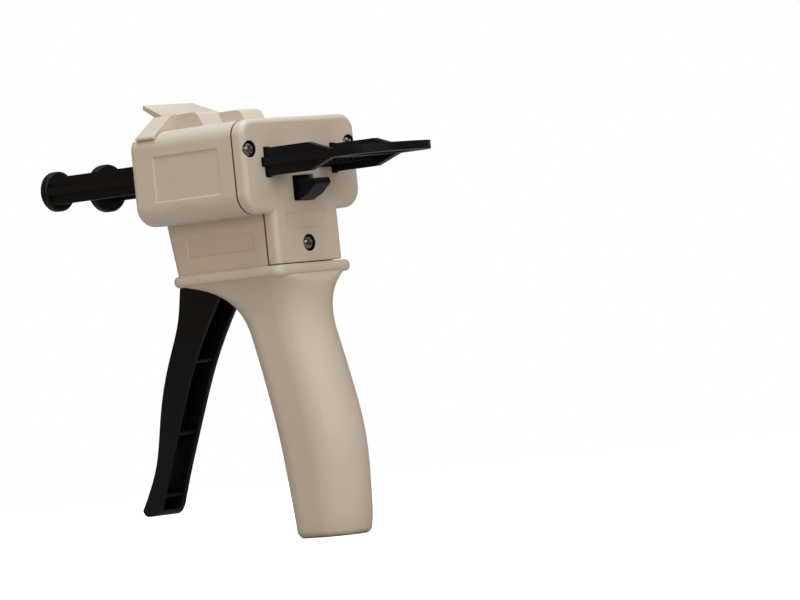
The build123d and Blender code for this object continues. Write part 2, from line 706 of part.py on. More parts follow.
# Torsion spring around the trigger pin: one leg on the trigger's front wall, one on the screw post
coil_len = spring_turns * spring_pitch
coil_end_angle = 360 * spring_turns
with BuildPart() as trigger_return_spring:
    with BuildLine() as coil_path:
        Helix(pitch=spring_pitch, height=coil_len, radius=spring_coil_r)
    with BuildSketch(Plane(origin=coil_path.wire() @ 0, z_dir=coil_path.wire() % 0)):
        Circle(spring_wire_r)
    sweep(path=coil_path.wire(), is_frenet=True)
    with Locations(Location((spring_coil_r, -spring_front_leg / 2, 0), (90, 0, 0))):
        Cylinder(spring_wire_r, spring_front_leg)
    with Locations(Location((0, 0, coil_len), (0, 0, coil_end_angle))):
        with Locations(Location((spring_coil_r, spring_rear_leg / 2, 0), (90, 0, 0))):
            Cylinder(spring_wire_r, spring_rear_leg)
coil_place = Location((pivot_x, coil_len / 2, pivot_z), (90, 0, spring_front_angle))
trigger_return_spring.part.locate(coil_place)
trigger_return_spring.part.label = "trigger_return_spring"
export_step(trigger_return_spring.part, "parts/trigger_return_spring.step")

# Feed pawl: a hub between the trigger's cheeks and a wide bar with a tip under each rack
with BuildSketch(Plane.XZ) as pawl_web:
    with Locations((pawl_x, pawl_z)):
        Circle(pawl_hub_r)
    with Locations((pawl_bar_x, pawl_bar_z)):
        Circle(pawl_bar_r)
    make_hull()

with BuildSketch(Plane.XZ) as pawl_tip:
    with BuildLine():
        Polyline(
            (pawl_bar_x - pawl_bar_r, pawl_bar_z),
            (pawl_tip_x - pawl_bar_r / 2, pawl_tip_z),
            (pawl_tip_x, pawl_tip_z),
            (pawl_bar_x + pawl_bar_r, pawl_bar_z),
            close=True,
        )
    make_face()

with BuildPart() as feed_pawl:
    extrude(pawl_web.sketch, amount=cheek_in_y - gap, both=True)
    cross_rod(pawl_bar_x, pawl_bar_z, pawl_bar_r, -pawl_half_w, pawl_half_w)
    extrude(pawl_tip.sketch, amount=pawl_half_w, both=True)
    block(pawl_bar_x - 2 * pawl_bar_r, pawl_bar_x + 2 * pawl_bar_r, -fork_out_y - gap, fork_out_y + gap,
          pawl_bar_z + pawl_bar_r, pawl_tip_z + rib, mode=Mode.SUBTRACT)
    cross_rod(pawl_x, pawl_z, pawl_pin_r + run, -trigger_w, trigger_w, mode=Mode.SUBTRACT)
feed_pawl.part.label = "feed_pawl"
export_step(feed_pawl.part, "parts/feed_pawl.step")

with BuildPart() as feed_pawl_pin:
    cross_rod(pawl_x, pawl_z, pawl_pin_r, -trigger_w / 2, trigger_w / 2)
    chamfer(edges().filter_by(GeomType.CIRCLE), length=chamfer_len)
feed_pawl_pin.part.label = "feed_pawl_pin"
export_step(feed_pawl_pin.part, "parts/feed_pawl_pin.step")

# Strip spring that lifts the pawl, standing on a foot between the cheeks
with BuildPart() as feed_pawl_spring:
    with BuildSketch(Plane.XZ):
        with BuildLine():
            Polyline(
                (foot_x, foot_z + rib / 2 + run),
                (foot_x + rib / 2, (foot_z + pawl_z) / 2 + rib / 2),
                (pawl_bar_x + rib / 2, pawl_bar_z - pawl_hub_r - rib / 2),
            )
        trace(line_width=strip_t)
    extrude(amount=cheek_in_y / 2, both=True)
feed_pawl_spring.part.label = "feed_pawl_spring"
export_step(feed_pawl_spring.part, "parts/feed_pawl_spring.step")

# Release lever: thumb tab outside the cover, hub on its pin, fork over the pawl's bar inside
with BuildSketch(Plane.XZ) as thumb_side:
    with BuildLine():
        Polyline(
            (release_x, release_top_z - rib / 2),
            (release_x + release_hub_r, release_top_z),
            (release_nose_x - 1, release_top_z),
            (release_nose_x, release_top_z - 2),
            (release_nose_x - 5, release_low_z + 1.3),
            (rear_x + 1, release_low_z - 0.4),
            (release_x + release_hub_r, release_low_z),
            (release_x, release_z - release_hub_r),
            close=True,
        )
    make_face()
    fillet(vertices().group_by(Axis.X)[-1], radius=1)

with BuildSketch(Plane.XZ) as fork_side:
    with BuildLine():
        Polyline(
            (release_x, release_z + release_hub_r),
            (fork_tip_x, fork_top_z),
            (fork_tip_x, pawl_bar_z + pawl_bar_r + 2 * gap),
            (pawl_bar_x + 1, pawl_bar_z + pawl_bar_r + gap),
            (pawl_bar_x + 3, pawl_bar_z - 1),
            (release_x, release_z - release_hub_r / 2),
            close=True,
        )
    make_face()

with BuildPart() as release_lever:
    extrude(thumb_side.sketch, amount=release_half_w, both=True)
    extrude(fork_side.sketch, amount=fork_out_y, both=True)
    block(fork_tip_x, fork_bridge_x, -fork_in_y, fork_in_y, pawl_z - rib, pawl_tip_z + rib,
          mode=Mode.SUBTRACT)
    cross_rod(release_x, release_z, release_hub_r, -fork_out_y, fork_out_y)
    cross_rod(release_x, release_z, release_pin_r + run, -fork_out_y, fork_out_y, mode=Mode.SUBTRACT)
release_lever.part.label = "release_lever"
export_step(release_lever.part, "parts/release_lever.step")

with BuildPart() as release_lever_pin:
    cross_rod(release_x, release_z, release_pin_r, -ear_in_y - ear_t, ear_in_y + ear_t)
    chamfer(edges().filter_by(GeomType.CIRCLE), length=chamfer_len)
release_lever_pin.part.label = "release_lever_pin"
export_step(release_lever_pin.part, "parts/release_lever_pin.step")

# Strip spring on the cover's shelf that lifts the fork
with BuildPart() as release_lever_spring:
    with BuildSketch(Plane.XZ):
        with BuildLine():
            Polyline(
                (seam_x - run, release_slot_low_z - strip_t / 2),
                (release_x - release_hub_r - 1, release_slot_low_z - strip_t / 2),
                (fork_bridge_x - 1, release_spring_top_z),
            )
        trace(line_width=strip_t)
    extrude(amount=release_half_w, both=True)
release_lever_spring.part.label = "release_lever_spring"
export_step(release_lever_spring.part, "parts/release_lever_spring.step")

# Cartridge lock lever: hollow bar across the seat, thumb tab, two arms with hinge knuckles
bar_end_z = bar_seat_z + 1
with BuildSketch(Plane.YZ.offset(bar_front_x)) as bar_outline:
    with BuildLine():
        Polyline(
            (-body_half_w, bar_seat_z), (-body_half_w, bar_end_z),
            (-lever_flat_half_w, lever_top_z), (lever_flat_half_w, lever_top_z),
            (body_half_w, bar_end_z), (body_half_w, bar_seat_z),
            close=True,
        )
    make_face()

bar_inner = offset(bar_outline.sketch, amount=-lever_wall, mode=Mode.PRIVATE)

with BuildSketch(Plane.XZ) as arm_side:
    with BuildLine():
        Polyline(
            (bar_rear_x - lever_wall, lever_top_z),
            (arm_corner_x, lever_top_z),
            (arm_tangent_x, arm_tangent_z),
            (lever_pin_x, lever_pin_z - knuckle_r),
            (lever_pin_x - knuckle_r, lever_pin_z),
            (bar_rear_x - lever_wall, bar_seat_z + lever_wall),
            close=True,
        )
    make_face()
    arm_corner = vertices().group_by(Axis.Y)[-1].sort_by(Axis.X)[-1]
    fillet(arm_corner, radius=arm_round_r)

with BuildSketch(Plane.XZ) as arm_hollow:
    with BuildLine():
        Polyline(
            (bar_rear_x - lever_wall, lever_top_z - lever_wall),
            (arm_corner_x - lever_wall, lever_top_z - lever_wall),
            (lever_pin_x - knuckle_r + lever_wall, lever_pin_z + knuckle_r),
            (lever_pin_x - knuckle_r, bar_seat_z - lever_wall),
            (bar_rear_x - lever_wall, bar_seat_z - lever_wall),
            close=True,
        )
    make_face()

with BuildSketch(Plane.XZ) as tab_side:
    with BuildLine():
        Polyline(
            (bar_front_x + lever_wall, lever_top_z),
            (tab_tip_x, tab_tip_z),
            (tab_tip_x - tab_t / 4, tab_tip_z - tab_t),
            (bar_front_x, lever_top_z - tab_t),
            (bar_front_x + lever_wall, lever_top_z - tab_t),
            close=True,
        )
    make_face()

with BuildSketch(Plane.XY) as tab_plan:
    with BuildLine():
        Polyline(
            (bar_front_x + lever_wall, -tab_root_half_w - 1), (tab_tip_x - tab_t, -tab_tip_half_w),
            (tab_tip_x - tab_t, tab_tip_half_w), (bar_front_x + lever_wall, tab_root_half_w + 1),
            close=True,
        )
    make_face()

with BuildPart() as tab:
    extrude(tab_side.sketch, amount=body_half_w, both=True)
    extrude(tab_plan.sketch, amount=tab_tip_z + tab_t, mode=Mode.INTERSECT)

with BuildPart() as cartridge_lock_lever:
    extrude(bar_outline.sketch, amount=bar_len)
    extrude(bar_inner.moved(Location((lever_wall, 0, 0))), amount=bar_len - 2 * lever_wall,
            mode=Mode.SUBTRACT)
    block(bar_front_x + lever_wall, bar_rear_x - lever_wall, -body_half_w + 2 * lever_wall,
          body_half_w - 2 * lever_wall, bar_seat_z, bar_seat_z + lever_wall, mode=Mode.SUBTRACT)
    add(tab.part)
    for side in (-1, 1):
        arm_place = Location((0, side * (arm_in_y + arm_out_y) / 2, 0))
        arm_half_w = (arm_out_y - arm_in_y) / 2
        extrude(arm_side.sketch.moved(arm_place), amount=arm_half_w, both=True)
        extrude(arm_hollow.sketch.moved(arm_place), amount=arm_half_w - lever_wall, both=True,
                mode=Mode.SUBTRACT)
        cross_rod(lever_pin_x, lever_pin_z, knuckle_r, side * arm_in_y, side * arm_out_y)
    block(bar_front_x + gap / 2, bar_front_x + lever_wall, -keeper_half_w, keeper_half_w,
          bar_seat_z - keeper_drop, bar_seat_z)
    cross_rod(lever_pin_x, lever_pin_z, lever_pin_r + run, -body_half_w, body_half_w,
              mode=Mode.SUBTRACT)
cartridge_lock_lever.part.label = "cartridge_lock_lever"
export_step(cartridge_lock_lever.part, "parts/cartridge_lock_lever.step")

with BuildPart() as lock_lever_pin:
    cross_rod(lever_pin_x, lever_pin_z, lever_pin_r, -hinge_boss_y + 1 + run, hinge_boss_y - 1 - run)
    chamfer(edges().filter_by(GeomType.CIRCLE), length=chamfer_len)
lock_lever_pin.part.label = "lock_lever_pin"
export_step(lock_lever_pin.part, "parts/lock_lever_pin.step")

# Detent strip behind the knuckles
with BuildPart() as lock_lever_detent:
    with BuildSketch(Plane.XZ):
        with BuildLine():
            Polyline(
                (window_x - strip_t / 2 - run, detent_low_z),
                (window_x - strip_t / 2 - run, detent_low_z + rib),
                (knuckle_rear_x + gap + strip_t / 2, lever_pin_z - rib),
            )
        trace(line_width=strip_t)
    extrude(amount=detent_half_w, both=True)
lock_lever_detent.part.label = "lock_lever_detent"
export_step(lock_lever_detent.part, "parts/lock_lever_detent.step")
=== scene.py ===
"""Looks of the dental dispensing gun: camera, light, stage, materials and fine pieces."""

import json
import math

import bmesh
import bpy
from mathutils import Matrix, Vector


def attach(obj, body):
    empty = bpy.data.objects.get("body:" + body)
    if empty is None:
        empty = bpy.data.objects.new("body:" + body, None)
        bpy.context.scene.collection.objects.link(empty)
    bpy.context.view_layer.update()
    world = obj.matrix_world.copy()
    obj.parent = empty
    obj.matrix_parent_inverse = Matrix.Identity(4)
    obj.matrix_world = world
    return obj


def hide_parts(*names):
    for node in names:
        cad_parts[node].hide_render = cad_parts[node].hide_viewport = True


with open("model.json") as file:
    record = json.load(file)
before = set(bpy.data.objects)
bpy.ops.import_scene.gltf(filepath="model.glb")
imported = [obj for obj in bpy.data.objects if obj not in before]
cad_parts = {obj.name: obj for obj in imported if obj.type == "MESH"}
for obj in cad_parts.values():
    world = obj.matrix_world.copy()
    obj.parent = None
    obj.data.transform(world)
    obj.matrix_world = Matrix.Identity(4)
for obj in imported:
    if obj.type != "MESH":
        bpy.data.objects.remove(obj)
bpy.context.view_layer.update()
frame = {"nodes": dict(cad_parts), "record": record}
nodes = frame["nodes"]
slots = {part["node"]: part["material_slot"] for part in frame["record"]["subparts"]}
node_body = {node: body for body, group in frame["record"]["behaviour"]["bodies"].items()
             for node in group}

MM = 0.001

# The camera as fitted to the photograph: its angles, and where one point of the gun is seen
AZIMUTH, ELEVATION, ROLL = math.radians(43.75), math.radians(-0.45), math.radians(-5.86)
DISTANCE = 2.0
PX_PER_M = 2600.0
TARGET = Vector((0.002, 0.0, 0.145))
TARGET_PX = (301.23, 159.78)
PICTURE_PX = (800, 600)
SENSOR_MM = 36.0
FAR_CLIP = 60

# Soft boxes: name, place, side, watts, colour, and whether surfaces mirror them.
# The image of the left rear one would burn out the top of the thumb tab.
LAMP_AIM = (0, 0, 0.09)
LAMPS = (
    ("top", (-0.15, -0.1, 1.5), 1.1, 18.2, (0.765, 0.875, 1.0), True),
    ("high front", (0.6, -0.768, 1.483), 0.8, 8.8, (0.62, 0.79, 1.0), True),
    ("low front", (0.995, -1.274, 0.615), 0.6, 5.8, (1.0, 0.95, 0.76), True),
    ("right", (1.592, -0.281, 0.615), 0.8, 5.1, (0.82, 0.88, 1.0), True),
    ("right rear", (1.128, 0.651, 1.183), 0.8, 4.4, (0.88, 0.89, 1.0), True),
    ("left rear", (-0.99, 1.18, 0.81), 0.8, 7.0, (0.95, 0.96, 1.0), False),
)
AMBIENT_COLOR, AMBIENT_STRENGTH = (1.0, 0.65, 0.36, 1), 0.26
BACKDROP_COLOR = (1.0, 1.0, 1.0, 1)
FLOOR_R, FLOOR_SIDES = 0.9, 96

# Places on the CAD that finishes and fine pieces follow
REAR_X = 2.0 * MM
SEAM_X = -4.0 * MM
COVER_LOW_Z = 105.5 * MM
HANDLE_FADE_Z = (101.5 * MM, 99.5 * MM)
SIDE_SCREW = (27.1 * MM, 150.4 * MM)
LOW_SCREW = (0.0, 113.1 * MM)

# Colours, each as the two ends between which a finish drifts, or as one shade
CREAM = ((0.615, 0.535, 0.435), (0.645, 0.565, 0.465))
CREAM_SPECK = (0.50, 0.42, 0.33)
# painted shade inside the joint line round the rear cover, where the gap lies in shadow
JOINT_PAINTED_SHADE = (0.19, 0.125, 0.065)
# painted shade on the walls of the screw recesses, which lie in shadow
RECESS_PAINTED_SHADE = (0.012, 0.009, 0.007)
BLACK = ((0.0038, 0.0042, 0.0048), (0.0058, 0.0063, 0.007))
NICKEL = ((0.15, 0.142, 0.132), (0.23, 0.22, 0.205))
PAPER = ((0.93, 0.925, 0.92), (0.95, 0.945, 0.94))
PAPER_DIM = (0.42, 0.40, 0.38, 1)
PAPER_GLOW, PAPER_GLOW_STRENGTH = (1.0, 0.99, 0.98, 1), 0.45

# Joint line round the rear cover, and the painted shade inside it: how that shade fades at both
# sides
SEAM_WIDE, SEAM_DEEP = 0.55 * MM, 1.1 * MM
SEAM_NEAR, SEAM_FACING = 0.02 * MM, 0.99
JOINT_PAST, JOINT_FADE = 0.12 * MM, 0.08 * MM

# Painted shade on the walls of the screw recesses: radius, and depths under the cover's rear face
RECESS_R = 3.4 * MM
RECESS_FADE = (0.15 * MM, 0.35 * MM)
RECESS_END = 2.6 * MM

# Rounding of the mouldings
SHARP_ANGLE, FLAT_ANGLE = math.radians(30), math.radians(0.05)
ROUND_SEGMENTS = 2
WELD = 2e-6
TORN_AREA = 0.3 * MM ** 2
SAME_PLANE = 0.999
TOE_CORNERS = ((-91.0 * MM, 12.5 * MM, 2.4 * MM), (-97.4 * MM, 12.5 * MM, 1.0 * MM),
               (-99.3 * MM, 14.8 * MM, 1.0 * MM))
TOE_NEAR, TOE_SEGMENTS = 0.2 * MM, 5

# The trigger's return spring: coil on the trigger's pin, and its front leg with the cut in it
PIVOT = Vector((-41.5 * MM, 0, 118.0 * MM))
COIL_R, WIRE_R, LEG_TURN = 3.2 * MM, 0.5 * MM, math.radians(-55)
LEG_Y, LEG_REACH = 2.42 * MM, 1.1 * WIRE_R
LEG_CUT, CUT_NEAR, ON_CUT = 1.0 * MM, 0.01 * MM, 1e-7
LEG_START = PIVOT + COIL_R * Vector((math.cos(LEG_TURN), 0, math.sin(LEG_TURN)))
LEG_WAY = Vector((math.sin(LEG_TURN), 0, -math.cos(LEG_TURN)))

# Cover screws: head, shank and pressed cross, along X from the head's seat
HEAD_R, HEAD_SEAT, HEAD_RIM, HEAD_CAP = 2.95 * MM, -0.2 * MM, 0.85 * MM, 1.35 * MM
HEAD_EDGE, DOME_INSET = 0.1 * MM, 0.03 * MM
SHANK_R, SHANK_END, TIP_END = 1.45 * MM, -15.0 * MM, -16.4 * MM
CROSS_HALF, CROSS_REACH, CROSS_DEEP = 0.42 * MM, 1.8 * MM, 1.2 * MM
CROSS_WALL, CROSS_TAPER = 0.16 * MM, 0.7
HEAD_RINGS, HEAD_SIDES = 30, 96
SCREWS = (((-SIDE_SCREW[0], SIDE_SCREW[1]), math.radians(28)), (SIDE_SCREW, math.radians(61)),
          (LOW_SCREW, math.radians(17)))


def make_camera():
    """The camera that sees the target point where the photograph shows it."""
    ahead = -Vector((math.sin(AZIMUTH) * math.cos(ELEVATION),
                     -math.cos(AZIMUTH) * math.cos(ELEVATION), math.sin(ELEVATION)))
    level = Vector((math.cos(AZIMUTH), math.sin(AZIMUTH), 0))
    upright = level.cross(ahead)
    right = math.cos(ROLL) * level + math.sin(ROLL) * upright
    up = math.cos(ROLL) * upright - math.sin(ROLL) * level
    off_x = (TARGET_PX[0] - PICTURE_PX[0] / 2) / PX_PER_M
    off_y = -(TARGET_PX[1] - PICTURE_PX[1] / 2) / PX_PER_M
    place = TARGET - off_x * right - off_y * up - DISTANCE * ahead
    data = bpy.data.cameras.new("camera")
    data.sensor_width = SENSOR_MM
    data.lens = SENSOR_MM * PX_PER_M * DISTANCE / PICTURE_PX[0]
    data.clip_end = FAR_CLIP
    camera = bpy.data.objects.new("camera", data)
    camera.matrix_world = Matrix((
        (right.x, up.x, -ahead.x, place.x),
        (right.y, up.y, -ahead.y, place.y),
        (right.z, up.z, -ahead.z, place.z),
        (0, 0, 0, 1)))
    bpy.context.scene.collection.objects.link(camera)
    bpy.context.scene.camera = camera


def area_light(name, place, side, watts, color, mirrored):
    """A square soft box that faces the gun."""
    data = bpy.data.lights.new(name, "AREA")
    data.shape = "RECTANGLE"
    data.size, data.size_y = side, side
    data.energy = watts
    data.color = color
    lamp = bpy.data.objects.new(name, data)
    lamp.location = place
    lamp.rotation_euler = (Vector(LAMP_AIM) - Vector(place)).to_track_quat("-Z", "Y").to_euler()
    lamp.visible_glossy = mirrored
    bpy.context.scene.collection.objects.link(lamp)


def split_for_camera(tree, seen, unseen, target):
    """Show one shader to the camera and another to the light that bounces around."""
    path = tree.nodes.new("ShaderNodeLightPath")
    pick = tree.nodes.new("ShaderNodeMixShader")
    tree.links.new(path.outputs["Is Camera Ray"], pick.inputs[0])
    tree.links.new(unseen, pick.inputs[1])
    tree.links.new(seen, pick.inputs[2])
    tree.links.new(pick.outputs[0], target)


def make_world():
    """Dim warm light from all round, behind a backdrop that the camera sees as white."""
    world = bpy.data.worlds.new("world")
    bpy.context.scene.world = world
    world.use_nodes = True
    sky = world.node_tree
    ambient = sky.nodes["Background"]
    ambient.inputs["Color"].default_value = AMBIENT_COLOR
    ambient.inputs["Strength"].default_value = AMBIENT_STRENGTH
    backdrop = sky.nodes.new("ShaderNodeBackground")
    backdrop.inputs["Color"].default_value = BACKDROP_COLOR
    split_for_camera(sky, backdrop.outputs[0], ambient.outputs[0],
                     sky.nodes["World Output"].inputs[0])


make_camera()
for lamp_facts in LAMPS:
    area_light(*lamp_facts)
make_world()
bpy.context.scene.view_settings.view_transform = "Standard"


class Nodes:
    """Small helper to lay out a material's nodes."""

    def __init__(self, name):
        self.material = bpy.data.materials.new(name)
        self.material.use_nodes = True
        self.tree = self.material.node_tree
        self.shader = self.tree.nodes["Principled BSDF"]
        self.place = self.add("ShaderNodeTexCoord").outputs["Object"]

    def feed(self, node, inputs):
        """Give each input a value or another node's output."""
        for socket, value in inputs.items():
            if isinstance(value, bpy.types.NodeSocket):
                self.tree.links.new(value, node.inputs[socket])
            else:
                node.inputs[socket].default_value = value

    def add(self, kind, inputs=None, **settings):
        node = self.tree.nodes.new(kind)
        for name, value in settings.items():
            setattr(node, name, value)
        self.feed(node, inputs or {})
        return node

    def noise(self, scale, detail, rough=0.5):
        return self.add("ShaderNodeTexNoise", {
            "Vector": self.place, "Scale": scale, "Detail": detail,
            "Roughness": rough}).outputs["Fac"]

    def ramp(self, source, low, high, out_low=0.0, out_high=1.0):
        return self.add("ShaderNodeMapRange", {
            "Value": source, "From Min": low, "From Max": high,
            "To Min": out_low, "To Max": out_high}).outputs["Result"]

    def mix_color(self, factor, *colors):
        """A drift between two colours, which the node takes in its sockets 6 and 7."""
        first, second = ((*color, 1) if isinstance(color, tuple) else color for color in colors)
        return self.add("ShaderNodeMix", {"Factor": factor, 6: first, 7: second},
                        data_type="RGBA").outputs[2]

    def calc(self, operation, first, second=0.0):
        return self.add("ShaderNodeMath", {0: first, 1: second}, operation=operation).outputs[0]

    def inside(self, axes, centre, radius):
        """One within a circle round centre, nought outside it."""
        squares = (self.calc("POWER", self.calc("SUBTRACT", axis, middle), 2.0)
                   for axis, middle in zip(axes, centre))
        return self.calc("LESS_THAN", self.calc("ADD", *squares), radius ** 2)

    def surface(self, height, distance, strength, radius):
        """Fine relief over edges that are softened by radius."""
        soft = self.add("ShaderNodeBevel", {"Radius": radius}, samples=6)
        relief = self.add("ShaderNodeBump", {
            "Strength": strength, "Distance": distance, "Height": height,
            "Normal": soft.outputs["Normal"]})
        self.feed(self.shader, {"Normal": relief.outputs["Normal"]})


def cream_plastic():
    """Warm white moulded plastic, finer and rougher on the handle than on the body."""
    n = Nodes("cream_plastic")
    broad = n.noise(scale=28, detail=2)
    fine = n.noise(scale=900, detail=2)
    grain = n.noise(scale=2600, detail=2, rough=0.6)
    color = n.mix_color(n.ramp(broad, 0.35, 0.65), *CREAM)
    color = n.mix_color(n.ramp(fine, 0.62, 0.80, out_high=0.25), color, CREAM_SPECK)
    x, y, z = n.add("ShaderNodeSeparateXYZ", {0: n.place}).outputs

    # Painted shade inside the joint line before the rear cover, above the cover's lower edge
    seam_end_x = SEAM_X + SEAM_WIDE
    joint = n.calc("MULTIPLY", n.ramp(x, SEAM_X - JOINT_PAST, SEAM_X - JOINT_PAST + JOINT_FADE),
                   n.ramp(x, seam_end_x - JOINT_PAST + JOINT_FADE, seam_end_x - JOINT_PAST))
    joint = n.calc("MULTIPLY", joint, n.calc("GREATER_THAN", z, COVER_LOW_Z))
    color = n.mix_color(joint, color, JOINT_PAINTED_SHADE)

    # Painted shade on the walls of the screw recesses, down to a depth under the rear face
    sideways = n.calc("ABSOLUTE", y)
    shaded_holes = n.calc("MAXIMUM", n.inside((sideways, z), SIDE_SCREW, RECESS_R),
                   n.inside((sideways, z), LOW_SCREW, RECESS_R))
    deep = n.calc("MULTIPLY", n.ramp(x, REAR_X - RECESS_FADE[0], REAR_X - RECESS_FADE[1]),
                  n.calc("GREATER_THAN", x, REAR_X - RECESS_END))
    color = n.mix_color(n.calc("MULTIPLY", shaded_holes, deep), color, RECESS_PAINTED_SHADE)

    handle = n.ramp(z, *HANDLE_FADE_Z)
    roughness = n.calc("ADD", n.ramp(broad, 0.3, 0.7, out_low=0.36, out_high=0.42),
                       n.calc("MULTIPLY", handle, 0.03))
    n.feed(n.shader, {
        "Base Color": color, "Roughness": roughness, "Specular IOR Level": 0.42,
        "Subsurface Weight": 0.06, "Subsurface Radius": (1.0, 0.7, 0.45),
        "Subsurface Scale": 1.5 * MM})
    relief = n.calc("MULTIPLY", grain, n.calc("ADD", n.calc("MULTIPLY", handle, 1.4), 0.35))
    n.surface(relief, distance=0.06 * MM, strength=0.9, radius=0.4 * MM)
    return n.material


def black_plastic():
    """Satin black moulded plastic."""
    n = Nodes("black_plastic")
    broad = n.noise(scale=60, detail=3)
    grain = n.noise(scale=2200, detail=2, rough=0.6)
    n.feed(n.shader, {
        "Base Color": n.mix_color(broad, *BLACK),
        "Roughness": n.ramp(broad, 0.3, 0.7, out_low=0.36, out_high=0.46),
        "Specular IOR Level": 0.14})
    n.surface(grain, distance=0.04 * MM, strength=0.6, radius=0.3 * MM)
    return n.material


def nickel_steel():
    """Bright nickel-plated steel with a fine mottled surface."""
    n = Nodes("nickel_steel")
    fine = n.noise(scale=1800, detail=3)
    n.feed(n.shader, {
        "Base Color": n.mix_color(fine, *NICKEL),
        "Roughness": n.ramp(fine, 0.3, 0.7, out_low=0.12, out_high=0.20),
        "Metallic": 1.0})
    n.surface(fine, distance=0.02 * MM, strength=0.5, radius=0.25 * MM)
    return n.material


def floor_paper():
    """Pale seamless paper, kept from throwing much light back up."""
    n = Nodes("floor_paper")
    n.feed(n.shader, {
        "Base Color": n.mix_color(n.noise(scale=3.0, detail=2), *PAPER),
        "Roughness": 0.9, "Specular IOR Level": 0.0,
        "Emission Color": PAPER_GLOW, "Emission Strength": PAPER_GLOW_STRENGTH})
    dim = n.add("ShaderNodeBsdfDiffuse", {"Color": PAPER_DIM})
    split_for_camera(n.tree, n.shader.outputs[0], dim.outputs[0],
                     n.tree.nodes["Material Output"].inputs["Surface"])
    return n.material


def as_mesh(work, name):
    """The finished mesh of a bmesh, which is freed."""
    mesh = bpy.data.meshes.new(name)
    work.to_mesh(mesh)
    work.free()
    return mesh


def make_floor():
    """A round sheet of paper under the gun."""
    disc = bmesh.new()
    bmesh.ops.create_circle(disc, cap_ends=True, radius=FLOOR_R, segments=FLOOR_SIDES)
    floor = bpy.data.objects.new("floor", as_mesh(disc, "floor"))
    bpy.context.scene.collection.objects.link(floor)
    floor.data.materials.append(floor_paper())


make_floor()
SLOT_MATERIALS = {"cream_plastic": cream_plastic(), "black_plastic": black_plastic(),
                  "steel": nickel_steel()}
for node, slot in slots.items():
    nodes[node].data.materials.clear()
    nodes[node].data.materials.append(SLOT_MATERIALS[slot])


def hung_together(edges):
    """Groups of edges that share vertices, the smallest first."""
    left = set(edges)
    groups = []
    for first in edges:
        if first not in left:
            continue
        left.discard(first)
        group, grown = [], [first]
        while grown:
            edge = grown.pop()
            group.append(edge)
            for vert in edge.verts:
                for other in vert.link_edges:
                    if other in left:
                        left.discard(other)
                        grown.append(other)
        groups.append(group)
    return sorted(groups, key=len)


def seam_groove(work):
    """Step the cover's outer front edge back, so that a narrow joint stands open before it."""
    front = [face for face in work.faces if face.normal.x < -SEAM_FACING
             and abs(face.calc_center_median().x - SEAM_X) < SEAM_NEAR]
    chosen = set(front)
    rim = [edge for edge in work.edges if sum(face in chosen for face in edge.link_faces) == 1]
    outer = max(hung_together(rim),
                key=lambda group: max(vert.co.y for edge in group for vert in edge.verts))
    ahead = Vector((-1, 0, 0))
    steps, inward = [], {}
    for edge in outer:
        loop = next(loop for loop in edge.link_loops if loop.face in chosen)
        first, second = loop.vert, loop.link_loop_next.vert
        turn = ahead.cross((second.co - first.co).normalized())
        steps.append((first, second))
        for vert in (first, second):
            inward.setdefault(vert, []).append(turn)
    top, bottom = {}, {}
    for vert, (one, two) in inward.items():
        place = vert.co + SEAM_DEEP * (one + two) / (1 + one.dot(two))
        top[vert] = work.verts.new(place)
        bottom[vert] = work.verts.new(place - SEAM_WIDE * ahead)
    edged = [face for face in front if any(vert in top for vert in face.verts)]
    for face in edged:
        work.faces.new([top.get(vert, vert) for vert in face.verts])
    bmesh.ops.delete(work, geom=edged, context="FACES")
    plain = work.edges.layers.int.new("plain")
    for first, second in steps:
        flat = work.faces.new((first, second, bottom[second], bottom[first]))
        wall = work.faces.new((bottom[first], bottom[second], top[second], top[first]))
        for edge in (*flat.edges, *wall.edges):
            edge[plain] = 1
    for first, second in steps:
        work.edges.get((first, second))[plain] = 0
    for vert in inward:
        vert.co -= SEAM_WIDE * ahead
    work.normal_update()


def round_toe(work):
    """Wider rounding at the trigger's lower end, which fingers slide over."""
    for x, z, width in TOE_CORNERS:
        corner = [edge for edge in work.edges if all(
            abs(vert.co.x - x) < TOE_NEAR and abs(vert.co.z - z) < TOE_NEAR
            for vert in edge.verts)]
        bmesh.ops.bevel(work, geom=corner, offset=width, offset_type="OFFSET",
                        segments=TOE_SEGMENTS, profile=0.5, affect="EDGES", clamp_overlap=True)


def round_edges(work, width):
    """Round the sharp edges, one connected group at a time, each as far as its room allows."""
    mark = work.edges.layers.int.new("group")
    plain = work.edges.layers.int.get("plain") or work.edges.layers.int.new("plain")
    groups = hung_together([
        edge for edge in work.edges if len(edge.link_faces) == 2 and not edge[plain]
        and edge.calc_face_angle() > SHARP_ANGLE])
    for number, group in enumerate(groups, 1):
        for edge in group:
            edge[mark] = number
    for number in range(1, len(groups) + 1):
        group = [edge for edge in work.edges if edge[mark] == number]
        bmesh.ops.bevel(work, geom=group, offset=width, offset_type="OFFSET",
                        segments=ROUND_SEGMENTS, profile=0.5, affect="EDGES",
                        clamp_overlap=True, miter_outer="PATCH")


def torn_planes(mesh):
    """Planes of the faces that no longer fill cleanly: normal and distance."""
    mesh.calc_loop_triangles()
    filled = [0.0] * len(mesh.polygons)
    for triangle in mesh.loop_triangles:
        filled[triangle.polygon_index] += triangle.area
    return [(face.normal.copy(), face.normal.dot(face.center)) for face in mesh.polygons
            if filled[face.index] > face.area + TORN_AREA]


def dress(mesh, node, name, body=None):
    """Turn a mesh into the visible piece that stands for a CAD piece."""
    for face in mesh.polygons:
        face.use_smooth = True
    mesh.materials.append(SLOT_MATERIALS[slots[node]])
    piece = bpy.data.objects.new(name, mesh)
    bpy.context.scene.collection.objects.link(piece)
    even = piece.modifiers.new("even", "WEIGHTED_NORMAL")
    even.keep_sharp = True
    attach(piece, body or node_body[node])
    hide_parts(node)


